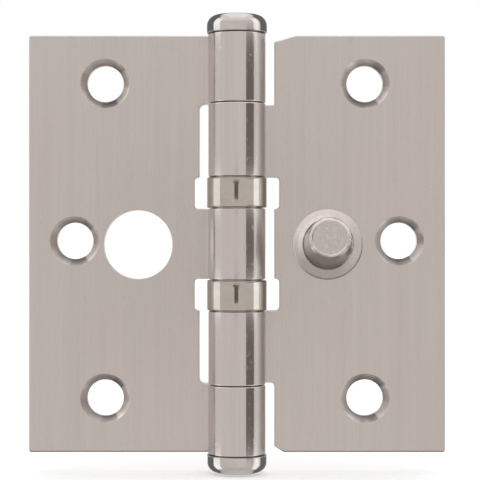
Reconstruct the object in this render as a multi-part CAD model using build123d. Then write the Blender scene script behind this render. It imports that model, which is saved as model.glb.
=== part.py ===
from build123d import *
from math import asin, cos, degrees, radians, sin, tan
import os

# A butt hinge with two ball bearings between its knuckles, laid open flat.
# The pin's axis is Z and the hinge's half height is Z = 0. The frame leaf lies at -X, the door leaf at +X.
# Both leaves turn their countersunk faces to -Y, and their back faces are in line with the barrel's back.

# Sheet and leaves
leaf_height = 89.0
leaf_reach = 44.5  # from the pin's axis to a leaf's free edge
sheet = 3.0
leaf_corner = 0.5  # radius of the free corners
edge_roll = 0.25  # the punched edge's roll-over on the front face

# Pin and knuckles
pin_radius = 3.0
pin_fit = 0.05  # radial, in the knuckles
middle_knuckle = 15.0  # the frame leaf's middle knuckle
inner_knuckle = 15.5  # each of the door leaf's two knuckles
plain_gap = 0.15  # between two knuckles that have no bearing between them
seam_gap = 0.1  # from the rolled end's outer corner to the leaf's front face
knuckle_break = 0.25

# Bearings
bearing_height = 6.7
housing_radius = 6.375
housing_wall = 0.4
housing_gap = 0.12  # from each end of the housing to the knuckle beside it
housing_round = 0.4
lip_height = 0.45
lip_reach = 0.55  # how far a lip stands in from the housing's bore
lip_play = 0.1
race_fit = 0.07  # radial, race to housing
race_bore_fit = 0.1  # radial, race to pin
ball_radius = 1.0
ball_count = 10
ball_fit = 0.05  # ball to groove and to cage pocket
race_spacing = 1.5  # between the faces of the two races
cage_thickness = 1.0
cage_clearance = 0.25  # radial, to the pin and to the housing

# Openings beside the other leaf's knuckles
slot_clearance = 1.95  # from the other leaf's barrel to a slot's end
notch_step = 1.05  # how much deeper an opening is beside a bearing
notch_corner = 0.75
frame_slot_corner = 1.2
door_slot_corner = 0.9
top_cut_width = 4.5
top_cut_drop = 1.3
bottom_cut_width = 2.0
bottom_cut_drop = 1.2

# Screw holes
screw_radius = 3.9
head_radius = 5.275
countersink_angle = 90.0
screw_rise = 0.65  # the pattern's middle above the hinge's half height
screw_pitch = 67.3
frame_screw_x = 28.2
door_screw_x = 27.4
middle_screw_x = 34.7

# Security stud on the door leaf, and the hole that takes it in the frame leaf
stud_x = 19.4
stud_z = -0.15
stud_length = 8.9  # along its own axis
stud_lean = 9.5  # degrees, towards +Z
stud_flange_radius = 7.5
stud_flange = 0.5
stud_root_radius = 5.6
stud_shoulder_radius = 4.7
stud_rim_radius = 4.0
stud_rim_drop = 0.6
stud_face_radius = 3.6
stud_face_drop = 0.12
stud_hollow = 0.2  # how far the flank is hollowed
shank_radius = 4.0
shank_fit = 0.02
rivet_radius = 5.6
stud_hole_offset = 1.75  # how much further from the pin the hole lies than the stud
stud_hole_play = 1.75  # radial, at the stud's root

# Tips on the barrel's ends
tip_radius = 6.35
tip_height = 4.2
tip_shoulder = 2.4
tip_dome = 0.15
tip_break = 0.2
tip_socket = 2.5
tip_fit = 0.01
pin_chamfer = 0.3

# Worked out from the sizes above
bore_radius = pin_radius + pin_fit
barrel_radius = bore_radius + sheet
half_height = leaf_height / 2
slot_depth = barrel_radius + slot_clearance
notch_depth = slot_depth + notch_step
middle_end = middle_knuckle / 2
bearing_end = middle_end + bearing_height
inner_end = bearing_end + inner_knuckle
outer_start = inner_end + plain_gap
bearing_middle = middle_end + bearing_height / 2
seam_angle = degrees(asin((bore_radius - seam_gap) / barrel_radius))
housing_bore = housing_radius - housing_wall
lip_radius = housing_bore - lip_reach
ball_circle = (pin_radius + housing_bore) / 2
countersink_depth = (head_radius - screw_radius) / tan(radians(countersink_angle / 2))
stud_hole_x = stud_x + stud_hole_offset
stud_hole_radius = stud_root_radius + stud_hole_play
past = 1.0  # how far a cutting shape runs past what it cuts
near = 1e-4

FRAME, DOOR = -1, 1  # the side of the pin, along X, that a leaf lies on

# A point (x, z) of a leaf is (x, z, 0) here on its back face, and (x, z, sheet) on its front face
leaf_plane = Plane.XZ.offset(-barrel_radius)
parts = {}


def slot(side, low, high, depth):
    # An opening in a leaf's inner edge, from the pin's axis out to a depth
    width = depth + past
    middle = side * (depth - past) / 2
    return Pos(middle, (low + high) / 2) * Rectangle(width, high - low)


def round_corners(region, depth, heights, radius):
    corners = [
        v
        for v in region.vertices()
        if abs(abs(v.X) - depth) < near and any(abs(v.Y - height) < near for height in heights)
    ]
    return fillet(corners, radius)


def leaf_region(side, slots):
    # A leaf's outline up to the pin's axis, with its strips for the knuckles still flat
    region = Pos(side * leaf_reach / 2, 0) * Rectangle(leaf_reach, leaf_height)
    for low, high, depth in slots:
        region -= slot(side, low, high, depth)
    region = round_corners(region, leaf_reach, [-half_height, half_height], leaf_corner)
    notch_heights = [sign * z for sign in (-1, 1) for z in (middle_end, bearing_end)]
    return round_corners(region, notch_depth, notch_heights, notch_corner)


def frame_region():
    slots = []
    for sign in (-1, 1):
        for start, end, depth in (
            (middle_end, bearing_end, notch_depth),
            (bearing_end, outer_start, slot_depth),
        ):
            low, high = sorted((sign * start, sign * end))
            slots.append((low, high, depth))
    region = leaf_region(FRAME, slots)
    return round_corners(region, slot_depth, [-outer_start, outer_start], frame_slot_corner)


def door_region():
    slots = [
        (inner_end, half_height + past, slot_depth),
        (middle_end, bearing_end, notch_depth),
        (-middle_end, middle_end, slot_depth),
        (-bearing_end, -middle_end, notch_depth),
        (-half_height - past, -inner_end, slot_depth),
    ]
    region = leaf_region(DOOR, slots)
    region = round_corners(region, slot_depth, [-inner_end], door_slot_corner)
    region -= corner_cut(1, top_cut_width, top_cut_drop)
    return region - corner_cut(-1, bottom_cut_width, bottom_cut_drop)


def corner_cut(end, width, drop):
    # The slanted cut on the door leaf's inner corner, at its top or bottom end
    corner = (slot_depth, end * half_height)
    across = (slot_depth + width, end * half_height)
    down = (slot_depth, end * (half_height - drop))
    return make_face(Polyline(corner, across, down, close=True))


def rolled_knuckle(side, low, high):
    # The sheet carries on from the leaf's back round the far side of the pin, until its end meets the leaf's front
    section = Polyline(
        (bore_radius, low),
        (barrel_radius - knuckle_break, low),
        (barrel_radius, low + knuckle_break),
        (barrel_radius, high - knuckle_break),
        (barrel_radius - knuckle_break, high),
        (bore_radius, high),
        close=True,
    )
    turn = 270 + seam_angle
    roll = revolve(Plane.XZ * make_face(section), Axis.Z, turn)
    start = 90 if side == DOOR else 90 - turn
    return Rot(0, 0, start) * roll


def screw_hole(x, z):
    # A through hole with a countersink in the front face
    slope = (head_radius - screw_radius) / countersink_depth
    bore = Pos(x, z, -past) * Cylinder(
        screw_radius, sheet + 2 * past, align=(Align.CENTER, Align.CENTER, Align.MIN)
    )
    cone = Pos(x, z, sheet - countersink_depth) * Cone(
        screw_radius,
        head_radius + slope * past,
        countersink_depth + past,
        align=(Align.CENTER, Align.CENTER, Align.MIN),
    )
    return leaf_plane * (bore + cone)


def leaf(side, region, knuckles, outer_screw_x):
    plate = extrude(leaf_plane * region, sheet)
    front = plate.faces().sort_by(Axis.Y)[0]
    rim = [e for e in front.outer_wire().edges() if abs(e.center().X) > near]
    plate = fillet(rim, edge_roll)
    for low, high in knuckles:
        plate += rolled_knuckle(side, low, high)
    holes = [(outer_screw_x, screw_rise + sign * screw_pitch / 2) for sign in (-1, 1)]
    holes.append((middle_screw_x, screw_rise))
    for x, z in holes:
        plate -= screw_hole(side * x, z)
    return plate


def frame_leaf():
    knuckles = [
        (outer_start, half_height),
        (-middle_end, middle_end),
        (-half_height, -outer_start),
    ]
    body = leaf(FRAME, frame_region(), knuckles, frame_screw_x)
    stud_hole = leaf_plane * Pos(FRAME * stud_hole_x, stud_z, 0) * Cylinder(stud_hole_radius, 2 * sheet + past)
    return body - stud_hole


def door_leaf():
    knuckles = [(bearing_end, inner_end), (-inner_end, -bearing_end)]
    body = leaf(DOOR, door_region(), knuckles, door_screw_x)
    return body - leaf_plane * Pos(DOOR * stud_x, stud_z) * rivet_shape(shank_fit, past)


def rivet_shape(gap=0, overrun=0):
    # The stud's shank through the leaf, its end spread into a 45 degree cone that is flush with the back face.
    # With a gap and an overrun it is the hole for that shank.
    depth = rivet_radius - shank_radius
    section = Polyline(
        (0, -overrun),
        (rivet_radius + gap + overrun, -overrun),
        (shank_radius + gap, depth),
        (shank_radius + gap, sheet + overrun),
        (0, sheet + overrun),
        close=True,
    )
    return revolve(Plane.XZ * make_face(section), Axis.Z)


def stud_body():
    # A hollow-flanked peg that leans upwards and is cut off at the leaf's front face
    shoulder = stud_length - stud_rim_drop
    middle = ((stud_root_radius + stud_shoulder_radius) / 2 - stud_hollow, (stud_flange + shoulder) / 2)
    below = -stud_root_radius * tan(radians(stud_lean)) - past
    edges = [
        Line((0, below), (stud_root_radius, below)),
        Line((stud_root_radius, below), (stud_root_radius, stud_flange)),
        ThreePointArc((stud_root_radius, stud_flange), middle, (stud_shoulder_radius, shoulder)),
        Line((stud_shoulder_radius, shoulder), (stud_rim_radius, stud_length - stud_face_drop)),
        ThreePointArc(
            (stud_rim_radius, stud_length - stud_face_drop),
            ((stud_rim_radius + stud_face_radius) / 2, stud_length - stud_face_drop / 4),
            (stud_face_radius, stud_length),
        ),
        Line((stud_face_radius, stud_length), (0, stud_length)),
        Line((0, stud_length), (0, below)),
    ]
    peg = Rot(-stud_lean, 0, 0) * revolve(Plane.XZ * make_face(Wire(edges)), Axis.Z)
    in_front = Box(
        4 * stud_flange_radius, 4 * stud_flange_radius, 2 * stud_length, align=(Align.CENTER, Align.CENTER, Align.MIN)
    )
    return peg & in_front


def security_stud():
    flange = Cylinder(stud_flange_radius, stud_flange, align=(Align.CENTER, Align.CENTER, Align.MIN))
    flange = fillet(flange.edges().group_by(Axis.Z)[-1], stud_flange / 2)
    head = Pos(0, 0, sheet) * (flange + stud_body())
    return leaf_plane * Pos(DOOR * stud_x, stud_z) * (head + rivet_shape())


def hinge_pin():
    length = leaf_height + 2 * tip_socket
    pin = Cylinder(pin_radius, length)
    return chamfer(pin.edges().filter_by(GeomType.CIRCLE), pin_chamfer)


def tip(end):
    # A turned button with a blind socket that is pressed onto the pin's end
    crown_start = tip_height - tip_dome - tip_shoulder
    crown_radius = tip_radius - tip_shoulder
    slant = tip_shoulder * sin(radians(45))
    rise = tip_height - tip_dome
    dome_radius = (crown_radius**2 + tip_dome**2) / (2 * tip_dome)
    half_angle = asin(crown_radius / dome_radius) / 2
    on_dome = (dome_radius * sin(half_angle), tip_height - dome_radius * (1 - cos(half_angle)))
    edges = [
        Line((0, tip_socket), (pin_radius + tip_fit, tip_socket)),
        Line((pin_radius + tip_fit, tip_socket), (pin_radius + tip_fit, 0)),
        Line((pin_radius + tip_fit, 0), (tip_radius - tip_break, 0)),
        Line((tip_radius - tip_break, 0), (tip_radius, tip_break)),
        Line((tip_radius, tip_break), (tip_radius, crown_start)),
        ThreePointArc((tip_radius, crown_start), (crown_radius + slant, crown_start + slant), (crown_radius, rise)),
        ThreePointArc((crown_radius, rise), on_dome, (0, tip_height)),
        Line((0, tip_height), (0, tip_socket)),
    ]
    button = Pos(0, 0, half_height) * revolve(Plane.XZ * make_face(Wire(edges)), Axis.Z)
    return button if end > 0 else mirror(button, Plane.XY)


def bearing_housing():
    # A thin polished sleeve with its two lips rolled in over the races' shoulders
    half = bearing_height / 2 - housing_gap
    wide = housing_radius
    corner = housing_round * (1 - cos(radians(45)))
    inner = half - lip_height
    edges = [
        Line((lip_radius, -half), (wide - housing_round, -half)),
        ThreePointArc((wide - housing_round, -half), (wide - corner, -half + corner), (wide, -half + housing_round)),
        Line((wide, -half + housing_round), (wide, half - housing_round)),
        ThreePointArc((wide, half - housing_round), (wide - corner, half - corner), (wide - housing_round, half)),
        Line((wide - housing_round, half), (lip_radius, half)),
        Line((lip_radius, half), (lip_radius, inner)),
        Line((lip_radius, inner), (housing_bore, inner)),
        Line((housing_bore, inner), (housing_bore, -inner)),
        Line((housing_bore, -inner), (lip_radius, -inner)),
        Line((lip_radius, -inner), (lip_radius, -half)),
    ]
    return revolve(Plane.XZ * make_face(Wire(edges)), Axis.Z)


def bearing_race(end):
    # A washer with a ball groove, stepped at its outer end for the housing's lip. The bottom one carries the housing.
    outer = bearing_height / 2
    play = lip_play if end > 0 else 0
    step = outer - housing_gap - lip_height - play
    wide = housing_bore - race_fit
    narrow = lip_radius - lip_play
    section = Polyline(
        (pin_radius + race_bore_fit, race_spacing / 2),
        (wide, race_spacing / 2),
        (wide, step),
        (narrow, step),
        (narrow, outer),
        (pin_radius + race_bore_fit, outer),
        close=True,
    )
    washer = revolve(Plane.XZ * make_face(section), Axis.Z)
    washer -= Torus(ball_circle, ball_radius + ball_fit)
    return washer if end > 0 else mirror(washer, Plane.XY)


def ball_places():
    return [
        (ball_circle * cos(radians(360 * n / ball_count)), ball_circle * sin(radians(360 * n / ball_count)))
        for n in range(ball_count)
    ]


def ball_cage():
    inner = pin_radius + cage_clearance
    outer = housing_bore - cage_clearance
    cage = Cylinder(outer, cage_thickness) - Cylinder(inner, 2 * cage_thickness)
    for x, y in ball_places():
        cage -= Pos(x, y, 0) * Cylinder(ball_radius + ball_fit, 2 * cage_thickness)
    return cage


def add_bearing(name, height):
    # Each race lies against its own knuckle's end, and the housing rides on the bottom race
    middle = Pos(0, 0, height)
    parts[f"{name}_bearing_housing"] = middle * bearing_housing()
    parts[f"{name}_bearing_top_race"] = middle * bearing_race(1)
    parts[f"{name}_bearing_bottom_race"] = middle * bearing_race(-1)
    parts[f"{name}_bearing_cage"] = middle * ball_cage()
    for n, (x, y) in enumerate(ball_places(), start=1):
        parts[f"{name}_bearing_ball_{n}"] = middle * Pos(x, y, 0) * Sphere(ball_radius)


parts["frame_leaf"] = frame_leaf()
parts["door_leaf"] = door_leaf()
parts["hinge_pin"] = hinge_pin()
parts["top_tip"] = tip(1)
parts["bottom_tip"] = tip(-1)
parts["security_stud"] = security_stud()
add_bearing("upper", bearing_middle)
add_bearing("lower", -bearing_middle)

os.makedirs("parts", exist_ok=True)
for name, shape in parts.items():
    shape.label = name
    export_step(shape, f"parts/{name}.step")
    print(name, round(shape.volume, 3))
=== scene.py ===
import bmesh
import bpy
import math
import numpy as np
from mathutils.geometry import delaunay_2d_cdt
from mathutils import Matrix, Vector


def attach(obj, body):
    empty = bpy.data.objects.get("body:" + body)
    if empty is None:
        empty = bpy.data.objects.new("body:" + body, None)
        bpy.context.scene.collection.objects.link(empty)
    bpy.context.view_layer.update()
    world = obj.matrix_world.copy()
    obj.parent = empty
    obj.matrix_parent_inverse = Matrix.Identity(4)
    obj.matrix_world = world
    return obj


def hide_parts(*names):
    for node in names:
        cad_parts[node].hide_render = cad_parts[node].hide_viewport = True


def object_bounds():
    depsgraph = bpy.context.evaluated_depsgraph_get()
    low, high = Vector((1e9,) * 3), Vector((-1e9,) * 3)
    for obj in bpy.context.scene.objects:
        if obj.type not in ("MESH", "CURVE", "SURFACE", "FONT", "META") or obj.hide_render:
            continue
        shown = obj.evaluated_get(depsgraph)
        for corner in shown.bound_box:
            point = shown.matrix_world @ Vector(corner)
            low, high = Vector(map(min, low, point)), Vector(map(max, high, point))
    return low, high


# A ball bearing butt hinge laid open flat, on a plain pale floor. Lengths are in millimetres until they go
# into a mesh, and the pin's axis is Z.
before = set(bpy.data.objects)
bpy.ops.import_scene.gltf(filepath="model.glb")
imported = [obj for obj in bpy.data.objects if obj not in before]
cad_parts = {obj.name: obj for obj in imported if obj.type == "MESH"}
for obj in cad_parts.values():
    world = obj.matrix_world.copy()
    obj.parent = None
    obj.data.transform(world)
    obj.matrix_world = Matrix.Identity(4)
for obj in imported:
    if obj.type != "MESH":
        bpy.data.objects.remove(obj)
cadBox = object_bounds()
mm = 0.001
weldDistance = 1e-6  # metres


def gridFaces(rows, columns, closeRows=False, closeColumns=False):
    # A face joins a row to the next and a column to the next. A closed grid joins its last to its first too.
    index = np.arange(rows * columns).reshape(rows, columns)
    if closeRows:
        index = np.concatenate([index, index[:1]])
    if closeColumns:
        index = np.concatenate([index, index[:, :1]], axis=1)
    return np.stack([index[:-1, :-1], index[:-1, 1:], index[1:, 1:], index[1:, :-1]], axis=-1).reshape(-1, 4)


def surfaceMesh(name, points, closeRows=False, closeColumns=True, values=None):
    # A grid of points, rows x columns x 3. A row that lies in one point is a pole, which the weld closes.
    rows, columns = points.shape[:2]
    faces = gridFaces(rows, columns, closeRows, closeColumns)
    return weldedMesh(name, points.reshape(-1, 3), faces.tolist(), values)


def weldedMesh(name, points, faces, values=None):
    # Points nearer than the weld distance become one, which closes seams and poles. All faces turn outwards.
    mesh = bpy.data.meshes.new(name)
    mesh.from_pydata((points * mm).tolist(), [], faces)
    for valueName, value in (values or {}).items():
        mesh.attributes.new(valueName, "FLOAT", "POINT").data.foreach_set("value", value.astype(np.float32))
    work = bmesh.new()
    work.from_mesh(mesh)
    bmesh.ops.remove_doubles(work, verts=work.verts, dist=weldDistance)
    bmesh.ops.recalc_face_normals(work, faces=work.faces)
    openEdges = sum(not edge.is_manifold for edge in work.edges)
    work.to_mesh(mesh)
    work.free()
    mesh.shade_smooth()
    if values:  # the hinge's own pieces carry values, and the studio's cards don't
        print(name, "has", len(mesh.polygons), "faces and", openEdges, "open edges")
    return mesh


def addPiece(name, mesh, body, material, replaced):
    mesh.materials.append(material)
    piece = bpy.data.objects.new(name, mesh)
    bpy.context.scene.collection.objects.link(piece)
    even = piece.modifiers.new("evenNormals", "WEIGHTED_NORMAL")  # large faces lead, so flats stay flat
    even.keep_sharp = True
    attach(piece, body)
    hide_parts(*replaced)


def roundedProfile(corners, radii, steps=6):
    # Each corner is cut back along both its sides by radius / tan(half its angle), and an arc of that radius
    # joins the two cuts.
    corners = np.array(corners, float)
    pieces = []
    for n in range(len(corners)):
        here, radius = corners[n], radii[n]
        if radius <= 0:
            pieces.append(here[None])
            continue
        toPast, toNext = corners[n - 1] - here, corners[(n + 1) % len(corners)] - here
        toPast, toNext = toPast / np.linalg.norm(toPast), toNext / np.linalg.norm(toNext)
        halfAngle = math.acos(np.clip(toPast @ toNext, -1, 1)) / 2
        middle = (toPast + toNext) / np.linalg.norm(toPast + toNext)
        centre = here + middle * radius / math.sin(halfAngle)
        first = here + toPast * radius / math.tan(halfAngle) - centre
        last = here + toNext * radius / math.tan(halfAngle) - centre
        turn = math.acos(np.clip(first @ last / radius**2, -1, 1))
        t = np.linspace(0, 1, steps)[:, None]
        pieces.append(centre + (np.sin((1 - t) * turn) * first + np.sin(t * turn) * last) / math.sin(turn))
    return np.concatenate(pieces)


def turnedSurface(name, profile, segments, jointShade, closed=False):
    # Round Z: each profile point (r, h) becomes (r cos a, r sin a, h) at every angle a, and keeps its painted
    # joint shade.
    angle = np.linspace(0, 2 * np.pi, segments, endpoint=False)[None, :]
    radius, height = profile[:, :1], profile[:, 1:2]
    points = np.stack([radius * np.cos(angle), radius * np.sin(angle), height + 0 * angle], axis=-1)
    return surfaceMesh(name, points, closeRows=closed, values={"jointShade": np.repeat(jointShade, segments)})


def newMaterial(name):
    material = bpy.data.materials.new(name)
    material.use_nodes = True
    tree = material.node_tree
    shader = next(n for n in tree.nodes if n.type == "BSDF_PRINCIPLED")
    return material, tree, shader


def newMetal(name):
    material, tree, shader = newMaterial(name)
    shader.inputs["Metallic"].default_value = 1.0
    return material, tree, shader


def addNode(tree, kind, **settings):
    node = tree.nodes.new(kind)
    for key, value in settings.items():
        setattr(node, key, value)
    return node


def plug(tree, value, socket):
    # A number or a colour is set on the socket, and a node's output is linked to it.
    if isinstance(value, (int, float, tuple)):
        socket.default_value = value
    else:
        tree.links.new(value, socket)


def stretchedNoise(tree, stretch, detail=3.0, roughness=0.55):
    # Noise on Object coordinates, with its own grain per metre along each axis
    place = addNode(tree, "ShaderNodeTexCoord")
    mapping = addNode(tree, "ShaderNodeMapping")
    mapping.inputs["Scale"].default_value = stretch
    noise = addNode(tree, "ShaderNodeTexNoise")
    noise.inputs["Scale"].default_value = 1.0
    noise.inputs["Detail"].default_value = detail
    noise.inputs["Roughness"].default_value = roughness
    tree.links.new(place.outputs["Object"], mapping.inputs["Vector"])
    tree.links.new(mapping.outputs["Vector"], noise.inputs["Vector"])
    return noise.outputs["Fac"]


def spread(tree, value, fromLow, fromHigh, toLow, toHigh):
    # The value's range is mapped on the new one, and held at its ends.
    node = addNode(tree, "ShaderNodeMapRange")
    node.inputs["From Min"].default_value = fromLow
    node.inputs["From Max"].default_value = fromHigh
    node.inputs["To Min"].default_value = toLow
    node.inputs["To Max"].default_value = toHigh
    tree.links.new(value, node.inputs["Value"])
    return node.outputs["Result"]


def mathNode(tree, operation, first, second=0.0):
    node = addNode(tree, "ShaderNodeMath", operation=operation)
    plug(tree, first, node.inputs[0])
    plug(tree, second, node.inputs[1])
    return node.outputs[0]


def blendColours(tree, share, first, second):
    node = addNode(tree, "ShaderNodeMix", data_type="RGBA")
    tree.links.new(share, node.inputs["Factor"])
    plug(tree, first, node.inputs[6])
    plug(tree, second, node.inputs[7])
    return node.outputs[2]


def blendValues(tree, share, first, second):
    node = addNode(tree, "ShaderNodeMix", data_type="FLOAT")
    tree.links.new(share, node.inputs["Factor"])
    plug(tree, first, node.inputs[2])
    plug(tree, second, node.inputs[3])
    return node.outputs[0]


def bumpNode(tree, height, strength, distance, **settings):
    node = addNode(tree, "ShaderNodeBump", **settings)
    node.inputs["Strength"].default_value = strength
    node.inputs["Distance"].default_value = distance
    tree.links.new(height, node.inputs["Height"])
    return node


def meshValue(tree, name):
    return addNode(tree, "ShaderNodeAttribute", attribute_name=name).outputs["Fac"]


def scaledColour(colour, factor=1.0):
    return tuple(c * factor for c in colour) + (1.0,)


leafLook = {
    "colour": (0.632, 0.591, 0.569),  # satin nickel plate, linear
    "cloudColour": (0.62, 0.555, 0.535),
    "cutColour": (0.52, 0.476, 0.452),  # where a drill or punch went through
    "wornColour": (0.76, 0.72, 0.7),
    "bottomShadeColour": (0.07, 0.06, 0.052),  # painted shade along the bottom edge
    "streak": 0.045,
    "fineGrain": (1700, 1700, 26), "broadGrain": (330, 330, 11), "cloudGrain": (45, 45, 22),
    "cutRoughness": 0.3, "flatRoughness": 0.28, "barrelRoughness": 0.11, "barrelSideRoughness": 0.34,
    "barrelReach": 6.3, "flatFade": 1.2,  # mm from the pin's axis, and how softly the flat starts there
    "barrelRight": (-4.75, -4.1), "barrelLeft": (-4.0, -2.9),  # mm along Y, where the burnished front ends
    "barrelSide": (4.9, 5.4),  # mm along X
    "barrelSideHighlight": 1.18,  # painted highlight: how much lighter the plate is at the barrel's sides
    "grainStrength": 0.2, "grainDepth": 0.000004,  # depths are in metres
    "nickGrain": (1500, 1500, 1300), "nickDepth": 0.00001,  # the small dents that rolling left
}


def barrelShares(tree, look):
    # Four shares at a point: how far it is out on the flat leaf, by the length of (x, y); the rest of that;
    # how brushed it still is, because rolling burnished the barrel's front only; how far round its side
    place = addNode(tree, "ShaderNodeTexCoord")
    squash = addNode(tree, "ShaderNodeVectorMath", operation="MULTIPLY")
    squash.inputs[1].default_value = (1, 1, 0)
    length = addNode(tree, "ShaderNodeVectorMath", operation="LENGTH")
    parts = addNode(tree, "ShaderNodeSeparateXYZ")
    tree.links.new(place.outputs["Object"], squash.inputs[0])
    tree.links.new(squash.outputs[0], length.inputs[0])
    tree.links.new(place.outputs["Object"], parts.inputs["Vector"])
    reach, fade = look["barrelReach"] * mm, look["flatFade"] * mm
    onFlat = spread(tree, length.outputs["Value"], reach, reach + fade, 0, 1)
    offFlat = mathNode(tree, "SUBTRACT", 1, onFlat)
    leftSide, rightSide = (spread(tree, parts.outputs["Y"], start * mm, end * mm, 0, 1)
                           for start, end in (look["barrelLeft"], look["barrelRight"]))
    onRight = spread(tree, parts.outputs["X"], 0, 0.5 * mm, 0, 1)
    onLeft = mathNode(tree, "SUBTRACT", 1, onRight)
    brushed = mathNode(tree, "ADD", mathNode(tree, "MULTIPLY", onRight, rightSide),
                       mathNode(tree, "MULTIPLY", onLeft, leftSide))
    start, end = look["barrelSide"]
    aside = spread(tree, mathNode(tree, "ABSOLUTE", parts.outputs["X"]), start * mm, end * mm, 0, 1)
    onSide = mathNode(tree, "MULTIPLY", aside, offFlat)
    return onFlat, offFlat, brushed, onSide


def plateColour(tree, look, fine, broad, onSide):
    # Brushed streaks and pale clouds, the bare metal of the cuts with painted reflection wedges, bright
    # rubbed edges, a painted highlight on the barrel's sides and painted shade along the bottom edge
    cloud = stretchedNoise(tree, look["cloudGrain"], detail=2, roughness=0.5)
    streaks = mathNode(tree, "ADD", mathNode(tree, "MULTIPLY", fine, 0.6),
                       mathNode(tree, "MULTIPLY", broad, 0.4))
    dark, light = (scaledColour(look["colour"], 1 + sign * look["streak"]) for sign in (-1, 1))
    plate = blendColours(tree, spread(tree, streaks, 0.34, 0.66, 0, 1), dark, light)
    pale = spread(tree, cloud, 0.35, 0.65, 0, 0.3)
    plate = blendColours(tree, pale, plate, scaledColour(look["cloudColour"]))
    # Punched walls and drilled cones have a look of their own, which the mesh marks; in a screw hole's cone
    # it has light and dark wedges of painted reflection.
    darkCut, lightCut = scaledColour(look["cutColour"], 0.4), scaledColour(look["cutColour"], 1.6)
    cut = blendColours(tree, meshValue(tree, "paintedWedges"), darkCut, lightCut)
    bare = blendColours(tree, meshValue(tree, "cutFace"), plate, cut)
    # Edges are rubbed bright, unevenly, and painted shade darkens the bottom one.
    patchy = spread(tree, broad, 0.35, 0.6, 0.25, 0.9)
    rubbed = mathNode(tree, "MULTIPLY", meshValue(tree, "edgeWear"), patchy)
    worn = blendColours(tree, rubbed, bare, scaledColour(look["wornColour"]))
    # Painted highlight: the plate is lighter at the barrel's sides
    sided = blendColours(tree, onSide, worn, scaledColour(look["colour"], look["barrelSideHighlight"]))
    edgeShade = mathNode(tree, "MULTIPLY", meshValue(tree, "bottomEdgeShade"), spread(tree, broad, 0.3, 0.6, 0.85, 1))
    return blendColours(tree, edgeShade, sided, scaledColour(look["bottomShadeColour"]))


def satinNickel():
    # Nickel plate brushed along the hinge's height, and burnished where the sheet was rolled round the pin
    look = leafLook
    material, tree, shader = newMetal("satinNickel")
    fine = stretchedNoise(tree, look["fineGrain"], detail=4, roughness=0.65)
    broad = stretchedNoise(tree, look["broadGrain"], detail=3, roughness=0.5)
    onFlat, offFlat, brushed, onSide = barrelShares(tree, look)
    tree.links.new(plateColour(tree, look, fine, broad, onSide), shader.inputs["Base Color"])
    barrel = spread(tree, brushed, 0, 1, look["barrelRoughness"], look["barrelSideRoughness"])
    plain = blendValues(tree, onFlat, barrel, look["flatRoughness"])
    rough = blendValues(tree, meshValue(tree, "cutFace"), plain, look["cutRoughness"])
    uneven = mathNode(tree, "ADD", rough, spread(tree, fine, 0.3, 0.7, -0.015, 0.025))
    tree.links.new(uneven, shader.inputs["Roughness"])
    spots = stretchedNoise(tree, look["nickGrain"], detail=1, roughness=0.4)
    nicks = mathNode(tree, "MULTIPLY", spread(tree, spots, 0.68, 0.74, 0, 1), offFlat)
    grain = bumpNode(tree, fine, look["grainStrength"], look["grainDepth"])
    dents = bumpNode(tree, nicks, 1.0, look["nickDepth"], invert=True)
    tree.links.new(grain.outputs["Normal"], dents.inputs["Normal"])
    tree.links.new(dents.outputs["Normal"], shader.inputs["Normal"])
    return material


ringLook = {
    "name": "polishedNickel", "colour": (0.522, 0.487, 0.447), "roughness": 0.035, "uneven": 0.02,
    "jointShadeColour": (0.11, 0.095, 0.085),
}
tipLook = {
    "name": "polishedChrome", "colour": (0.606, 0.58, 0.557), "roughness": 0.055, "uneven": 0.05,
    "jointShadeColour": (0.11, 0.095, 0.085),
}


def polishedMetal(look):
    material, tree, shader = newMetal(look["name"])
    smear = stretchedNoise(tree, (300, 300, 500))
    speck = stretchedNoise(tree, (1800, 1800, 2600), detail=2)
    dull, clear = scaledColour(look["colour"], 0.96), scaledColour(look["colour"], 1.04)
    colour = blendColours(tree, spread(tree, smear, 0.35, 0.65, 0, 1), dull, clear)
    # Painted shade darkens the part where it meets a knuckle.
    jointShare = mathNode(tree, "MULTIPLY", meshValue(tree, "jointShade"), spread(tree, smear, 0.3, 0.7, 0.7, 0.95))
    jointShaded = blendColours(tree, jointShare, colour, scaledColour(look["jointShadeColour"]))
    tree.links.new(jointShaded, shader.inputs["Base Color"])
    smooth, rough = look["roughness"] - 0.02, look["roughness"] + look["uneven"]
    tree.links.new(spread(tree, speck, 0.3, 0.75, smooth, rough), shader.inputs["Roughness"])
    tree.links.new(bumpNode(tree, speck, 0.12, 0.000003).outputs["Normal"], shader.inputs["Normal"])
    return material


studLook = {
    "colour": (0.62, 0.58, 0.557),
    "paintedShadeColour": (0.19, 0.165, 0.147),  # painted shade
    "highlightAndFleckColour": (0.95, 0.9, 0.87),  # painted highlight on the flange and rim, and the colour of the face's bright flecks
    "roughness": 0.17,
    "fleck": 0.45,
}


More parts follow.
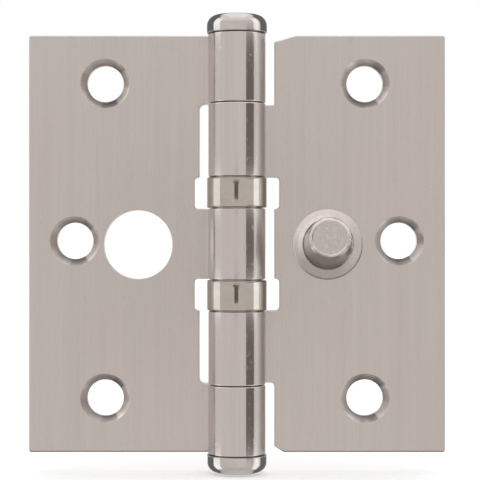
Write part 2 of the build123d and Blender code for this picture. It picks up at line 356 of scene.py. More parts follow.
def turnedNickel():
    look = studLook
    material, tree, shader = newMetal("turnedNickel")
    grain = stretchedNoise(tree, (900, 900, 900))
    pits = stretchedNoise(tree, (2600, 2600, 2600), detail=2)
    dull, clear = scaledColour(look["colour"], 0.94), scaledColour(look["colour"], 1.06)
    colour = blendColours(tree, spread(tree, grain, 0.3, 0.7, 0, 1), dull, clear)
    # Painted shade darkens the peg's lower side towards the root and the flange's lower rim and face, painted
    # highlight lightens the flange's upper left and arcs of the rim, and pits add bright flecks.
    shadeShare = mathNode(tree, "MULTIPLY", meshValue(tree, "paintedShade"), spread(tree, grain, 0.3, 0.7, 0.75, 1))
    highlightShare = mathNode(tree, "MULTIPLY", meshValue(tree, "paintedHighlight"), spread(tree, grain, 0.3, 0.65, 0.7, 1))
    specks = spread(tree, pits, 0.56, 0.68, 0, look["fleck"])
    flecks = mathNode(tree, "MULTIPLY", meshValue(tree, "fleckShade"), specks)
    highlightOrFleck = mathNode(tree, "MAXIMUM", highlightShare, flecks)
    brightened = blendColours(tree, highlightOrFleck, colour, scaledColour(look["highlightAndFleckColour"]))
    dark = blendColours(tree, shadeShare, brightened, scaledColour(look["paintedShadeColour"]))
    tree.links.new(dark, shader.inputs["Base Color"])
    rough = spread(tree, pits, 0.3, 0.75, look["roughness"] - 0.03, look["roughness"] + 0.08)
    tree.links.new(rough, shader.inputs["Roughness"])
    tree.links.new(bumpNode(tree, pits, 0.35, 0.000012).outputs["Normal"], shader.inputs["Normal"])
    return material


innerLooks = {  # colour, roughness and grain per metre of what the barrel holds
    "pinSteel": ((0.5, 0.49, 0.48), 0.2, 900),
    "bearingSteel": ((0.56, 0.56, 0.56), 0.08, 700),
    "cageBrass": ((0.78, 0.57, 0.25), 0.25, 800),
}


def plainMetal(name):
    # Ground steel or brass inside the barrel, with a fine grain round the pin
    colour, roughness, grainScale = innerLooks[name]
    material, tree, shader = newMetal(name)
    grain = stretchedNoise(tree, (grainScale, grainScale, grainScale * 4))
    dull, clear = scaledColour(colour, 0.9), scaledColour(colour, 1.06)
    blend = blendColours(tree, spread(tree, grain, 0.3, 0.7, 0, 1), dull, clear)
    tree.links.new(blend, shader.inputs["Base Color"])
    rough = spread(tree, grain, 0.3, 0.7, roughness - 0.03, roughness + 0.06)
    tree.links.new(rough, shader.inputs["Roughness"])
    tree.links.new(bumpNode(tree, grain, 0.15, 0.000005).outputs["Normal"], shader.inputs["Normal"])
    return material


leafMetal = satinNickel()
ringMetal, tipMetal = polishedMetal(ringLook), polishedMetal(tipLook)
studMetal = turnedNickel()
pinSteel, bearingSteel, cageBrass = (plainMetal(name) for name in innerLooks)
metalEndings = {
    "_leaf": leafMetal, "_tip": tipMetal, "_housing": ringMetal, "_stud": studMetal, "_pin": pinSteel,
    "_cage": cageBrass,
}
for nodeName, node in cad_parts.items():
    # The races and the balls are what is left.
    metal = next((m for ending, m in metalEndings.items() if nodeName.endswith(ending)), bearingSteel)
    node.data.materials.clear()
    node.data.materials.append(metal)
print("materials made")

sheetShape = {
    "front": 3.05, "sheet": 3.0,  # the leaf's front face along Y, and its thickness behind that
    "frontRound": 0.24, "backRound": 0.08, "rim": 0.02,  # the punched edge's rounds, and a flat beside each
    "bore": 3.05, "turn": 299.19, "rollSteps": 110, "rollBlend": 24.0,  # turns are in degrees
    "rollFrontRound": 0.06, "rollBackRound": 0.25, "rollEnd": 0.12,
    "bottomBelow": -44.0,  # the height under which an edge that looks down is the bottom edge
    "holeSegments": 144,
    # Painted reflection wedges in a screw hole's cone, as their shade at places round the hole, in degrees
    # from +X towards +Z
    "coneWedges": [(-180, 0.47), (-130, 0.43), (-103, 0.32), (-98, 0.12), (-59, 0.13), (-54, 0.95),
                (-12, 0.92), (-6, 0.6), (31, 0.6), (37, 0.09), (60, 0.13), (70, 0.42), (88, 0.48),
                (120, 0.46), (180, 0.47)],
}
outer, slot, notch = 44.5, 8.0, 9.05  # from the pin's axis: a leaf's outer edge, its slots and its notches
top, ringTop, ringFoot = 44.5, 14.2, 7.5  # heights of the leaf's top edge and of a bearing's place
frameJoint, doorJoint = 29.85, 29.7  # heights at which the outer knuckles meet, on each leaf

# Outlines are (distance from the pin's axis, height, corner radius), with the metal on the right-hand side of
# the run. Each run starts and ends at the mouth of a knuckle's strip, over the pin's axis.
frameLeafShape = {
    "side": -1,
    "runs": [
        [(0, top, 0), (outer, top, 0.5), (outer, -top, 0.5), (0, -top, 0)],
        [(0, -frameJoint, 0), (slot, -frameJoint, 1.2), (slot, -ringTop, 0.28), (notch, -ringTop, 0.75),
         (notch, -ringFoot, 0.75), (0, -ringFoot, 0)],
        [(0, ringFoot, 0), (notch, ringFoot, 0.75), (notch, ringTop, 0.75), (slot, ringTop, 0.28),
         (slot, frameJoint, 1.2), (0, frameJoint, 0)],
    ],
    "strips": [(frameJoint, top), (-ringFoot, ringFoot), (-top, -frameJoint)],
    "screwHoles": [(28.2, 34.3), (28.2, -33.0), (34.7, 0.65)],
    "studHoles": [(21.15, -0.15)],
    "rivetHoles": [],
}
doorLeafShape = {
    "side": 1,
    "runs": [
        [(0, doorJoint, 0), (slot, doorJoint, 0.15), (slot, 43.2, 0.4), (12.5, top, 0.6), (outer, top, 0.5),
         (outer, -top, 0.5), (10, -top, 0.5), (slot, -43.3, 0.4), (slot, -doorJoint, 0.9),
         (0, -doorJoint, 0)],
        [(0, -ringTop, 0), (notch, -ringTop, 0.75), (notch, -ringFoot, 0.75), (slot, -ringFoot, 0.28),
         (slot, ringFoot, 0.28), (notch, ringFoot, 0.75), (notch, ringTop, 0.75), (0, ringTop, 0)],
    ],
    "strips": [(ringTop, doorJoint), (-doorJoint, -ringTop)],
    "screwHoles": [(27.4, 34.3), (27.4, -33.0), (34.7, 0.65)],
    "studHoles": [],
    "rivetHoles": [(19.4, -0.15)],
}
# Holes are (radius, depth behind the front face, corner radius), from the front face to the back.
holeShapes = {
    "screwHoles": [(5.375, 0, 0), (5.275, 0, 0.06), (3.9, 1.375, 0.1), (3.9, 3, 0.06), (4.0, 3, 0)],
    "studHoles": [(7.55, 0, 0), (7.35, 0, 0.14), (7.35, 3, 0.06), (7.45, 3, 0)],
    "rivetHoles": [(4.12, 0, 0), (4.02, 0, 0.03), (4.02, 1.4, 0.1), (5.62, 3, 0.02), (5.72, 3, 0)],
}


def edgeSection(frontRound, backRound):
    # The sheet's edge as (inset from the edge, depth behind the front), with a quarter round at each face;
    # how worn it is, how much of it was cut, and where it may carry painted shade
    sheet, rim = sheetShape["sheet"], sheetShape["rim"]
    a, b = np.linspace(0, math.pi / 2, 7), np.linspace(0, math.pi / 2, 5)
    front = np.column_stack([frontRound * (1 - np.sin(a)), frontRound * (1 - np.cos(a))])
    back = np.column_stack([backRound * (1 - np.cos(b)), sheet - backRound * (1 - np.sin(b))])
    first, wall, last = [[frontRound + rim, 0]], [[0, sheet / 2]], [[backRound + rim, sheet]]
    wear = np.concatenate([[0], np.sin(2 * a) * 0.8 + 0.2, [0.2], np.sin(2 * b) * 0.8 + 0.2, [0]])
    cut = np.concatenate([[0], np.linspace(0, 1, 7), [1], np.linspace(1, 0, 5), [0]])
    edgeShade = np.zeros(len(cut))
    edgeShade[1:9] = (0.6, 1, 1, 1, 1, 1, 1, 0.6)  # the front round and the wall
    return np.concatenate([first, front, wall, back, last]), wear, cut, edgeShade


def edgeStrip(run):
    # The edge's section carried along a run. Each point is moved in by its inset along the sum of the two
    # normals there, divided by one plus their product, so that the strip keeps its width round a corner.
    corners = np.array(run, float)
    path = roundedProfile(corners[:, :2], corners[:, 2], steps=8)
    step = np.diff(path, axis=0)
    step /= np.linalg.norm(step, axis=1, keepdims=True)
    normal = np.column_stack([step[:, 1], -step[:, 0]])
    before, after = np.concatenate([normal[:1], normal]), np.concatenate([normal, normal[-1:]])
    inward = (before + after) / (1 + (before * after).sum(axis=1, keepdims=True))
    section, wear, cut, edgeShade = edgeSection(sheetShape["frontRound"], sheetShape["backRound"])
    flat = path[:, None, :] + inward[:, None, :] * section[None, :, :1]
    depth = np.broadcast_to(section[None, :, 1:], flat.shape[:2] + (1,))
    # Painted shade on the bottom edge's front round and wall, where the edge looks down
    lower = np.clip(inward[:, 1:] * (path[:, 1:] < sheetShape["bottomBelow"]), 0, 1)
    grid, wear = np.concatenate([flat, depth], axis=-1), np.broadcast_to(wear, flat.shape[:2])
    return grid, wear, cut[None], lower * edgeShade


def rolledStrip(low, high):
    # A knuckle's strip: its closed section, rolled round the pin. At the angle t a point of depth d lies at
    # the radius bore + d, so the section turns with t. At the start the punched edge's rounds pass into the
    # barrel's.
    s = sheetShape
    turn = np.radians(np.linspace(0, s["turn"], s["rollSteps"]))
    share = np.clip(turn / math.radians(s["rollBlend"]), 0, 1)
    share = share * share * (3 - 2 * share)
    start, wear, cut = edgeSection(s["frontRound"], s["backRound"])[:3]
    end = edgeSection(s["rollFrontRound"], s["rollBackRound"])[0]
    section = start[None] + (end - start)[None] * share[:, None, None]
    upper = np.stack([high - section[..., 0], section[..., 1]], axis=-1)
    lower = np.stack([low + section[..., 0], section[..., 1]], axis=-1)[:, ::-1]
    ring = np.concatenate([upper, lower], axis=1)
    # One more ring, drawn in on all sides, breaks the edge of the rolled end.
    middle = np.array([(low + high) / 2, s["sheet"] / 2])
    half = np.array([(high - low) / 2, s["sheet"] / 2])
    last = middle + (ring[-1] - middle) * (1 - s["rollEnd"] / half)
    turn = np.append(turn, turn[-1] + s["rollEnd"] / (s["bore"] + s["sheet"] / 2))
    ring = np.concatenate([ring, last[None]])
    radius = s["bore"] + ring[..., 1]
    along = -radius * np.sin(turn)[:, None]
    depth = radius * np.cos(turn)[:, None] - s["front"]
    ringWear = np.broadcast_to(np.concatenate([wear, wear[::-1]]), along.shape).copy()
    ringWear[-2:] = 1.0
    return np.stack([along, ring[..., 0], depth], axis=-1), ringWear, np.concatenate([cut, cut[::-1]])[None]


def drilledHole(centre, outline, side, withWedges):
    # The hole's side profile turned round its own axis, with the wear of its edge and, in a screw hole,
    # wedges of painted reflection
    corners = np.array(outline, float)
    profile = roundedProfile(corners[:, :2], corners[:, 2], steps=5)
    a = np.linspace(0, 2 * np.pi, sheetShape["holeSegments"], endpoint=False)[None, :]
    radius, depth = profile[:, :1], profile[:, 1:]
    grid = np.stack([centre[0] + radius * np.cos(a), centre[1] + radius * np.sin(a), depth + 0 * a], axis=-1)
    wear = np.zeros(grid.shape[:2])
    wear[1:6] = np.array([0.5, 0.9, 1, 0.9, 0.5])[:, None]  # the round at the front face
    places, shades = np.array(sheetShape["coneWedges"], float).T
    turn = np.degrees(np.arctan2(np.sin(a[0]), side * np.cos(a[0])))
    wedges = np.interp(turn, places, shades) if withWedges else np.full(turn.shape, 0.5)
    cut = np.ones(wear.shape)
    cut[[0, 1, -2, -1]] = 0
    return grid, wear, cut, np.broadcast_to(wedges, wear.shape)


def filledFace(loops, discs, back):
    # Triangles that fill a leaf's flat face between the rims of its edges and holes
    flat, edges, first = [], [], 0
    for line, closed in loops:
        index = np.arange(first, first + len(line))
        after = np.roll(index, -1) if closed else index[1:]
        edges += np.column_stack([index if closed else index[:-1], after]).tolist()
        flat.append(line)
        first += len(line)
    filled = delaunay_2d_cdt(np.concatenate(flat).tolist(), edges, [], 1, 1e-5)
    corners = np.array([list(v) for v in filled[0]])
    triangles = np.array(filled[2])
    centre = corners[triangles].mean(axis=1)
    inHole = np.zeros(len(triangles), bool)
    side = 2 * np.pi / sheetShape["holeSegments"]
    for disc in discs:
        # A hole's rim has straight sides, so each centre is measured square to the side that it faces.
        away = centre - np.array(disc[0])
        swing = np.mod(np.arctan2(away[:, 1], away[:, 0]), side) - side / 2
        inHole |= np.hypot(away[:, 0], away[:, 1]) * np.cos(swing) < disc[1 + back] * np.cos(side / 2) - 1e-5
    return corners, triangles[~inHole]


def leafMesh(name, shape):
    # Grids are (distance from the axis, height, depth). The two flat faces fill the space between their rims.
    points, faces, count = [], [], 0
    values = {"edgeWear": [], "cutFace": [], "paintedWedges": [], "bottomEdgeShade": []}

    def keep(grid, wear, cut, closeColumns=False, wedges=0.5, edgeShade=0.0):
        nonlocal count
        points.append(grid.reshape(-1, 3))
        for valueName, value in zip(values, (wear, cut, wedges, edgeShade)):
            values[valueName].append((np.zeros(grid.shape[:2]) + value).reshape(-1))
        faces.extend((gridFaces(*grid.shape[:2], closeColumns=closeColumns) + count).tolist())
        count += grid.shape[0] * grid.shape[1]

    rims = {0: [], 1: []}  # rim lines of the front and the back face, and whether each is closed
    for run in shape["runs"]:
        grid, wear, cut, edgeShade = edgeStrip(run)
        keep(grid, wear, cut, edgeShade=edgeShade)
        rims[0].append((grid[:, 0, :2], False))
        rims[1].append((grid[:, -1, :2], False))
    for low, high in shape["strips"]:
        grid, wear, cut = rolledStrip(low, high)
        keep(grid, wear, cut, closeColumns=True)
        faces.append(list(range(count - grid.shape[1], count)))  # the rolled end's face
        middle = grid.shape[1] // 2
        rims[0].append((grid[0][[0, -1], :2], False))
        rims[1].append((grid[0][[middle - 1, middle], :2], False))
    discs = []
    for kind, outline in holeShapes.items():
        for centre in shape[kind]:
            grid, wear, cut, wedges = drilledHole(centre, outline, shape["side"], kind == "screwHoles")
            keep(grid, wear, cut, closeColumns=True, wedges=wedges)
            rims[0].append((grid[0, :, :2], True))
            rims[1].append((grid[-1, :, :2], True))
            discs.append((centre, outline[0][0], outline[-1][0]))
    for back, loops in rims.items():
        corners, triangles = filledFace(loops, discs, back)
        depth = np.full((len(corners), 1), sheetShape["sheet"] * back)
        points.append(np.concatenate([corners, depth], axis=1))
        for value in values.values():
            value.append(np.zeros(len(corners)))
        faces += (triangles + count).tolist()
        count += len(corners)
    flat = np.concatenate(points)
    placed = np.column_stack([shape["side"] * flat[:, 0], sheetShape["front"] + flat[:, 2], flat[:, 1]])
    joined = {valueName: np.concatenate(value) for valueName, value in values.items()}
    return weldedMesh(name, placed, faces, joined)


leaves = (("frame_leaf", frameLeafShape, "frame_side"), ("door_leaf", doorLeafShape, "door_side"))
for leafName, shape, body in leaves:
    pieceName = f"{leafName}_rolled"
    addPiece(pieceName, leafMesh(pieceName, shape), body, leafMetal, [leafName])
print("leaves punched and rolled")

tipShape = {
    "radius": 6.35, "height": 4.2, "shoulder": 2.4, "dome": 0.15, "foot": 0.22,
    "flat": 0.03,  # a narrow strip beside each round keeps the straight side flat
    "seat": 44.5, "socketRadius": 3.01, "socketDepth": 2.5, "segments": 256,
    "jointShadeHeight": 0.22, "jointShadeFade": 0.12,
}


def tipSurface(name, end):
    # A button turned round Z: a foot, a straight side, a quarter-round shoulder, and a dome whose height
    # falls with r squared
    t = tipShape
    crown = t["radius"] - t["shoulder"]
    rise = t["height"] - t["dome"]
    bend = rise - t["shoulder"]  # where the shoulder starts
    a = np.linspace(0, math.pi / 2, 28)
    shoulder = np.column_stack([crown + t["shoulder"] * np.cos(a), bend + t["shoulder"] * np.sin(a)])
    r = np.linspace(crown, 0, 16)[1:]
    dome = np.column_stack([r, rise + t["dome"] * (1 - (r / crown) ** 2)])
    f = np.linspace(-math.pi / 2, 0, 7)
    foot = np.column_stack([t["radius"] - t["foot"] + t["foot"] * np.cos(f),
                            t["foot"] + t["foot"] * np.sin(f)])
    bore, depth = t["socketRadius"], t["socketDepth"]
    socket = np.array([[0, depth], [bore, depth], [bore, 0.0]])
    side = np.array([[t["radius"], t["foot"] + t["flat"]], [t["radius"], bend - t["flat"]]])
    profile = np.concatenate([socket, foot, side, shoulder, dome])
    # Painted shade at the foot, where the tip meets a knuckle
    jointShade = np.clip((t["jointShadeHeight"] - profile[:, 1]) / t["jointShadeFade"], 0, 1)
    profile[:, 1] = end * (t["seat"] + profile[:, 1])
    return turnedSurface(name, profile, t["segments"], jointShade)


housingShape = {
    "radius": 6.375, "wall": 0.4, "half": 3.23, "round": 0.4, "lip": 0.45, "lipRadius": 5.425,
    "flat": 0.03, "middle": 10.85, "segments": 256, "jointShadeHeight": 0.3, "jointShadeFade": 0.15,
}


def housingSurface(name, side):
    # A rolled sleeve turned round Z: a straight wall with a quarter round and a turned-in lip at each end
    h = housingShape
    straight = h["half"] - h["round"]
    a = np.linspace(0, math.pi / 2, 12)
    upper = np.column_stack([h["radius"] - h["round"] + h["round"] * np.cos(a),
                             straight + h["round"] * np.sin(a)])
    levels = np.linspace(-straight, straight, 22)[1:-1]
    z = np.concatenate([[h["flat"] - straight], levels, [straight - h["flat"]]])
    wall = np.column_stack([np.full(z.shape, h["radius"]), z])
    outside = np.concatenate([(upper * [1, -1])[::-1], wall, upper])
    bore, inner, lipRadius, half = h["radius"] - h["wall"], h["half"] - h["lip"], h["lipRadius"], h["half"]
    inside = np.array([[lipRadius, half], [lipRadius, inner], [bore, inner], [bore, -inner],
                       [lipRadius, -inner], [lipRadius, -half]])
    profile = np.concatenate([outside, inside])
    # Painted shade at both ends, where the sleeve meets the knuckles
    jointShade = np.clip((np.abs(profile[:, 1]) - half + h["jointShadeHeight"]) / h["jointShadeFade"], 0, 1)
    profile[:, 1] += side * h["middle"]
    return turnedSurface(name, profile, h["segments"], jointShade, closed=True)


turned = ((1, "top_tip", "upper", "frame_side"), (-1, "bottom_tip", "lower", "door_side"))
for end, tipName, side, body in turned:
    tip = tipSurface(tipName, end)
    addPiece(f"{tipName}_turned", tip, "frame_side", tipMetal, [tipName])
    housingName = f"{side}_bearing_housing"
    housing = housingSurface(housingName, end)
    addPiece(f"{housingName}_rolled", housing, body, ringMetal, [housingName])
print("tips and bearing housings turned")

studShape = {
    "x": 19.4, "z": -0.15, "front": 3.05, "sheet": 3.0, "lean": 9.5, "length": 8.86,
    "flangeRadius": 7.5, "flange": 0.5, "flangeRound": 0.08,
    "flangeFall": 0.38,  # from the root to the rim
    "rootRadius": 5.25, "rootFillet": 0.12, "shoulderRadius": 4.5, "shoulderDrop": 0.4, "hollow": 0.16,
    "rimRadius": 4.08, "faceRadius": 3.75, "faceDrop": 0.1, "shank": 4.0, "rivet": 5.6, "segments": 240,
    "slideReach": 4.0,  # how far up the peg its side lines slide to meet the flange
    # How bright the rim's painted highlight is, at angles from +X towards +Z
    "rimHighlight": [(0, 0.1), (30, 0.5), (60, 1), (140, 1), (165, 0.4), (200, 0.2), (212, 0.9), (226, 0.1),
               (262, 0.1), (272, 1), (325, 1), (345, 0.4), (360, 0.1)],
    # Sides with painted shade or painted highlight, as (angle from +X towards +Z in radians, gain, level):
    # the peg's dark side, the flange's dark rim and dark face, and the flange's highlighted side, all of it
    # and close to the peg
    "pegDark": (-1.45, 1.1, 0.1),
    "rimDark": (0.35 - math.pi / 2, 1.6, -0.1), "faceDark": (-0.3 - math.pi / 2, 1.2, 0),
    "flangeHighlight": (1.95, 0.85, 0.2), "nearHighlight": (2.3, 1.6, -0.2),
}


def pegProfile():
    # The peg's side from its root to its face's middle, as (radius, length along its own axis). The flank is
    # hollowed most at half its length, and the shoulder, rim and face follow with small rounds.
    s = studShape
    shoulder = s["length"] - s["shoulderDrop"]
    face = s["length"] - s["faceDrop"]
    t = np.linspace(0, 1, 26)
    flank = np.column_stack([
        s["rootRadius"] + (s["shoulderRadius"] - s["rootRadius"]) * t - 4 * s["hollow"] * t * (1 - t),
        s["flange"] + (shoulder - s["flange"]) * t,
    ])
    corners = [flank[-2], [s["shoulderRadius"], shoulder], [s["rimRadius"], s["length"]],
               [s["faceRadius"], s["length"] - 0.02], [s["faceRadius"] - 0.2, face], [0.0, face + 0.03]]
    return np.concatenate([flank[:-1], roundedProfile(corners, [0, 0.18, 0.1, 0.05, 0.1, 0], steps=6)[1:]])


def flangeProfile():
    # The rivet's end, the shank and the flange's underside, then the flange's rim and its face, which falls
    # to the rim, as (radius, depth behind the leaf's front). Two counts follow: the rings on the rim, and
    # those on the face.
    s = studShape
    rivet, sheet, rimRound = s["rivet"], s["sheet"], s["flangeRound"]
    rimDepth = s["flange"] - s["flangeFall"]
    f = np.linspace(0, math.pi / 2, 6)
    rim = np.column_stack([s["flangeRadius"] - rimRound + rimRound * np.cos(f),
                           rimRound - rimDepth - rimRound * np.sin(f)])
    fall = np.column_stack([s["flangeRadius"] - rimRound, -rimDepth])
    face = fall + (np.array([[s["rootRadius"], -s["flange"]]]) - fall) * np.linspace(0.03, 0.9, 8)[:, None]
    end = [(0, sheet), (rivet - 0.25, sheet), (rivet - 0.15, sheet), (rivet - 0.05, sheet - 0.02),
           (rivet - 0.08, sheet - 0.08)]
    shank = [(s["shank"], sheet - (rivet - s["shank"])), (s["shank"], 0), (s["flangeRadius"], 0)]
    return np.concatenate([end, shank, rim, face]), len(rim), len(face)


def facing(a, towards, gain, level):
    # How much the side at the angle a faces a direction, as level + gain * cos(a - towards), from 0 to 1
    return np.clip(level + gain * np.cos(a - towards), 0, 1)


def studSurface():
    # Rings of points at every angle a. The flange's rings lie round the hole's axis. The peg's rings lean: a
    # ring's middle goes along the leaning axis, its plane is square to that axis, and the lines down its side
    # slide along it until they end at the flange's face. The rings near the root are drawn outwards by the
    # fillet, by the square of their nearness.
    s = studShape
    a = np.linspace(0, 2 * np.pi, s["segments"], endpoint=False)[None, :]
    lean = math.radians(s["lean"])
    plain, rimCount, faceCount = flangeProfile()
    rings = np.stack([plain[:, :1] * np.cos(a), plain[:, 1:] + 0 * a, plain[:, :1] * np.sin(a)], axis=-1)
    profile = pegProfile()
    radius, along = profile[:, :1], profile[:, 1:2]
    across = radius * np.sin(a)
    startSlide = s["flange"] / math.cos(lean) + s["rootRadius"] * np.sin(a) * math.tan(lean) - s["flange"]
    share = np.clip(1 - (along - s["flange"]) / s["slideReach"], 0, 1)
    along = along + startSlide * share
    out = across * math.cos(lean) + along * math.sin(lean)
    depth = -(along * math.cos(lean) - across * math.sin(lean))
    near = np.clip(1 - (-depth - s["flange"]) / s["rootFillet"], 0, 1) ** 2
    spreadOut = 1 + near * s["rootFillet"] / s["rootRadius"]
    middle = out.mean(axis=1, keepdims=True)
    peg = np.stack([radius * np.cos(a) * spreadOut, depth, middle + (out - middle) * spreadOut], axis=-1)
    # Painted shade: most at the root and on the shoulder's round, on the lower side of both, a little on the
    # face and the flange's lower half, and most along the rim's lower side
    lower = facing(a, *s["pegDark"])
    paintedShade = 0.45 + 0.55 * np.clip(1 - (-depth - s["flange"]) / 4, 0, 1) ** 0.5
    onShoulder = (profile[:, 1:2] > s["length"] - s["shoulderDrop"] - 0.3) & (profile[:, :1] > s["rimRadius"])
    onFace = profile[:, :1] < s["faceRadius"]
    pegShade = np.where(onFace, 0.13, np.where(onShoulder, 0.9 * lower, paintedShade * lower))
    first = len(plain) - rimCount - faceCount - 1  # the flange's own rings start here
    faceFirst = first + 2 + rimCount
    ringShade = np.zeros(rings.shape[:2])
    ringShade[first:faceFirst] = facing(a, *s["rimDark"])
    ringShade[faceFirst:] = 0.45 * facing(a, *s["faceDark"])
    # Painted highlight on the flange, most at its upper left; the flecks lie on the face and the flange
    ringHighlight = np.zeros(rings.shape[:2])
    ringHighlight[first:] = 0.8 * facing(a, *s["flangeHighlight"])
    ringHighlight[-4:] = np.maximum(ringHighlight[-4:], facing(a, *s["nearHighlight"]))
    # Painted highlight in arcs round the peg's rim
    places, shades = np.array(s["rimHighlight"], float).T
    onRim = (profile[:, :1] >= s["faceRadius"] - 0.1) & (profile[:, 1:2] > s["length"] - 0.15)
    pegHighlight = np.where(onRim, np.interp(np.degrees(a), places, shades), 0)
    ringFleck = np.ones(rings.shape[:2])
    pegFleck = np.where(onFace, 1.0, 0.4) + 0 * a
    points = np.concatenate([rings, peg]) + np.array([s["x"], s["front"], s["z"]])
    return surfaceMesh("stud", points, values={
        "paintedShade": np.concatenate([ringShade, pegShade]).reshape(-1),
        "paintedHighlight": np.concatenate([ringHighlight, pegHighlight]).reshape(-1),
        "fleckShade": np.concatenate([ringFleck, pegFleck]).reshape(-1),
    })


addPiece("security_stud_turned", studSurface(), "door_side", studMetal, ["security_stud"])
print("stud made")

# The dark stripe, the slit and the bright bands are reflections of cards. A direction is in degrees round the
# pin, from the camera (-Y) towards +X, and three values together are first direction, last direction and
# strength.
studio = {
    "cardDistance": 200.0, "flagDistance": 60.0,  # mm from the pin's axis
    "cameraDistance": 350.0, "cameraHeight": 0.77, "barrelFront": 6.0,
    "knuckles": [(14.2, 44.6), (-7.5, 7.5), (-44.6, -14.2)],  # heights that a card is seen between
    "rings": [(7.5, 14.2), (-14.2, -7.5)],
    "tips": [(44.5, 60.0), (-60.0, -44.5)],
    "tipBeyond": 120.0,  # how much further the tips' cards go, because a round shoulder looks up or down
    "white": (1.0, 1.0, 1.0),
    "warm": (1.0, 0.946, 0.91),  # the front screen's tint
    "shadeTint": (1.0, 0.86, 0.78),
    "shade": (36.5, 72.0, 0.195),
    "rightBand": (66.0, 92.0, 1.58),
    "leftBand": (-99.0, -67.0, 1.36),
    "tipBand": 1.45,  # strength
    "lens": (-9.5, 5.0, 0.195),
    "lensHead": (-14.2, 9.7, 0.14),  # the short wider bar at the top of the dark slit
    "lensMargins": (1.85, 1.05, 1.5),  # below the slit, above it, and above its head's lower end
    "flag": (97.0, 165.0, 0.19),
    "lowerFlagEnd": 149.0,  # the lower flags end sooner, so that the leaves' backs mirror them less
    "thinFlag": (-106.0, -97.0, 0.03), "thinFlagPlace": (220.0, 72.0),  # distance and half height
    "overhead": (110.0, 48.0, 70.0),  # distance and half widths
    "overheadLevels": (1.2, 0.76),  # strength above and below
    "tipEnd": 48.7,
    "apron": (300.0, 400.0, 0.7),  # how far down, half width, strength
    "screen": (-96.0, 96.0, 1100.0, 900.0),  # first direction, last direction, distance, half height
    "screenLevels": (0.72, 0.81, 1.0),  # strength low down, round the camera's height, and high up
    "screenBends": (-0.8, -0.35, 0.35, 0.9),  # metres: heights between which those pass into each other
}


def hangCard(name, mesh, strength, tint):
    # A panel that only reflections see: it stands in the studio and never shows itself.
    material = bpy.data.materials.new(name)
    material.use_nodes = True
    tree = material.node_tree
    tree.nodes.clear()
    light = tree.nodes.new("ShaderNodeEmission")
    light.inputs["Color"].default_value = tint + (1.0,)
    light.inputs["Strength"].default_value = strength
    output = tree.nodes.new("ShaderNodeOutputMaterial")
    tree.links.new(light.outputs[0], output.inputs["Surface"])
    mesh.materials.append(material)
    panel = bpy.data.objects.new(name, mesh)
    bpy.context.scene.collection.objects.link(panel)
    panel.visible_camera = panel.visible_diffuse = panel.visible_shadow = panel.visible_transmission = False
    return tree, light


def standingCard(name, directions, distance, low, high, strength, tint=studio["white"]):
    # A panel bent round the barrel at this distance: at the direction a it stands at (sin a, -cos a).
    a = np.radians(np.linspace(directions[0], directions[1], 13))[None, :]
    height = np.array([[low], [high]])
    across, deep = distance * np.sin(a) + 0 * height, -distance * np.cos(a) + 0 * height
    points = np.stack([across, deep, height + 0 * a], axis=-1)
    return hangCard(name, surfaceMesh(name, points, closeColumns=False), strength, tint)


def lyingCard(name, level, halfWidth, halfDepth, strength, tint):
    across, deep = np.meshgrid([-halfWidth, halfWidth], [-halfDepth, halfDepth])
    points = np.stack([across, deep, np.full(across.shape, level)], axis=-1)
    hangCard(name, surfaceMesh(name, points, closeColumns=False), strength, tint)


def mirrored(height, distance=studio["cardDistance"]):
    # The height at which a level mirror's ray from this height on the barrel meets a card at this distance
    front, level = studio["barrelFront"], studio["cameraHeight"]
    reach = (distance - front) / (studio["cameraDistance"] - front)
    return level + (height - level) * (1 + reach)


def knuckleCard(n, low, high):
    s, far = studio, studio["cardDistance"]
    foot, head = mirrored(low), mirrored(high)
    standingCard(f"barrelShade{n}", s["shade"], far, foot, head, s["shade"][2], s["shadeTint"])


def ringCards(n, low, high):
    s, far = studio, studio["cardDistance"]
    for side in ("rightBand", "leftBand"):
        standingCard(f"ring{side}{n}", s[side], far, mirrored(low), mirrored(high), s[side][2])
    below, above, headBelow = s["lensMargins"]
    foot, neck, head = mirrored(low + below), mirrored(high - headBelow), mirrored(high - above)
    standingCard(f"lensCard{n}", s["lens"], far, foot, head, s["lens"][2], s["shadeTint"])
    standingCard(f"lensHead{n}", s["lensHead"], far, neck, head, s["lensHead"][2], s["shadeTint"])


def tipCards(n, low, high):
    s, far, near = studio, studio["cardDistance"], studio["flagDistance"]
    up = 1 if n == 0 else -1
    under, over = min(up * s["tipBeyond"], 0), max(up * s["tipBeyond"], 0)
    bottom, summit = mirrored(low) + under, mirrored(high) + over
    for side in ("rightBand", "leftBand"):
        standingCard(f"tip{side}{n}", s[side], far, bottom, summit, s["tipBand"])
    flagEnd = s["flag"][1] if up > 0 else s["lowerFlagEnd"]
    bottom, summit = mirrored(low, near) + under / 2, mirrored(high, near) + over / 2
    for sign in (-1, 1):
        directions = sorted((sign * s["flag"][0], sign * flagEnd))
        standingCard(f"flag{n}{sign + 1}", directions, near, bottom, summit, s["flag"][2])
    distance, halfWidth, halfDepth = s["overhead"]
    level = up * (distance + s["tipEnd"])
    tint = s["white"] if up > 0 else s["warm"]
    lyingCard(f"overhead{n}", level, halfWidth, halfDepth, s["overheadLevels"][n], tint)


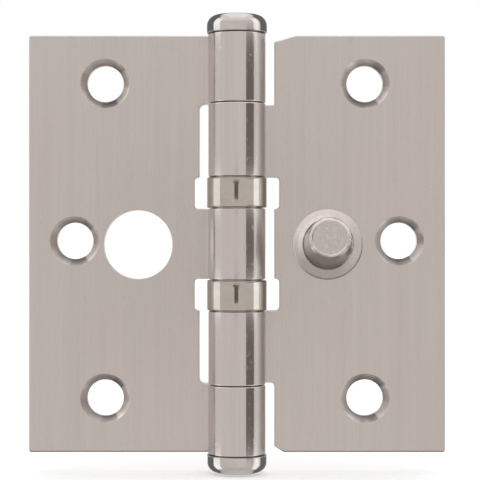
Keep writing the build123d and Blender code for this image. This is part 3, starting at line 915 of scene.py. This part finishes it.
def standingScreen():
    # A pale curved screen round the front, dimmer low down, brighter high up and even at the camera's height
    first, last, far, half = studio["screen"]
    tree, light = standingCard("screen", (first, last), far, -half, half, 1.0, studio["warm"])
    place = addNode(tree, "ShaderNodeTexCoord")
    parts = addNode(tree, "ShaderNodeSeparateXYZ")
    tree.links.new(place.outputs["Object"], parts.inputs["Vector"])
    low, level, high = studio["screenLevels"]
    bends = studio["screenBends"]
    below = spread(tree, parts.outputs["Z"], bends[0], bends[1], low - level, 0)
    above = spread(tree, parts.outputs["Z"], bends[2], bends[3], 0, high - level)
    strength = mathNode(tree, "ADD", mathNode(tree, "ADD", below, above), level)
    tree.links.new(strength, light.inputs["Strength"])


for makeCards, heights in ((knuckleCard, "knuckles"), (ringCards, "rings"), (tipCards, "tips")):
    for n, (low, high) in enumerate(studio[heights]):
        makeCards(n, low, high)
apronDown, apronHalf, apronStrength = studio["apron"]
lyingCard("apron", -apronDown, apronHalf, apronHalf, apronStrength, studio["warm"])
thinDistance, thinHalf = studio["thinFlagPlace"]
standingCard("thinFlag", studio["thinFlag"], thinDistance, -thinHalf, thinHalf, studio["thinFlag"][2])
standingScreen()
print("reflection cards hung")

floorShape = {
    "half": 6.0, "gap": 0.00005,  # metres
    "colour": (0.86, 0.86, 0.86, 1), "roughness": 0.9, "glow": 0.3,
}


def makeFloor(level):
    # The floor shines a little for rays that show it, which makes it white and keeps the hinge's shadow.
    half = floorShape["half"]
    mesh = bpy.data.meshes.new("floor")
    corners = [(-half, -half, level), (half, -half, level), (half, half, level), (-half, half, level)]
    mesh.from_pydata(corners, [], [[0, 1, 2, 3]])
    material, tree, shader = newMaterial("paleFloor")
    shader.inputs["Base Color"].default_value = floorShape["colour"]
    shader.inputs["Roughness"].default_value = floorShape["roughness"]
    shader.inputs["Emission Color"].default_value = (1, 1, 1, 1)
    rays = tree.nodes.new("ShaderNodeLightPath").outputs
    mirrors = mathNode(tree, "MAXIMUM", rays["Is Glossy Ray"], rays["Is Transmission Ray"])
    seen = mathNode(tree, "MAXIMUM", rays["Is Camera Ray"], mirrors)
    tree.links.new(spread(tree, seen, 0, 1, 0, floorShape["glow"]), shader.inputs["Emission Strength"])
    mesh.materials.append(material)
    floor = bpy.data.objects.new("floor", mesh)
    bpy.context.scene.collection.objects.link(floor)
    floor.visible_glossy = False  # reflections see the screen and the white studio below it instead


makeFloor(cadBox[0][2] - floorShape["gap"])

world = bpy.data.worlds.new("studio")
bpy.context.scene.world = world
world.use_nodes = True
world.node_tree.nodes["Background"].inputs["Color"].default_value = (1, 1, 1, 1)
world.node_tree.nodes["Background"].inputs["Strength"].default_value = 1.0

view = {"place": (0.65, -350, 0.83), "lens": 123.85, "sensor": 36}  # mm
cameraData = bpy.data.cameras.new("camera")
cameraData.sensor_width = view["sensor"]
cameraData.lens = view["lens"]
cameraData.clip_start = 0.01
camera = bpy.data.objects.new("camera", cameraData)
bpy.context.scene.collection.objects.link(camera)
camera.location = tuple(part * mm for part in view["place"])
camera.rotation_euler = (math.radians(90), 0, 0)
bpy.context.scene.camera = camera
bpy.context.scene.view_settings.view_transform = "Standard"
print("stage and camera ready")
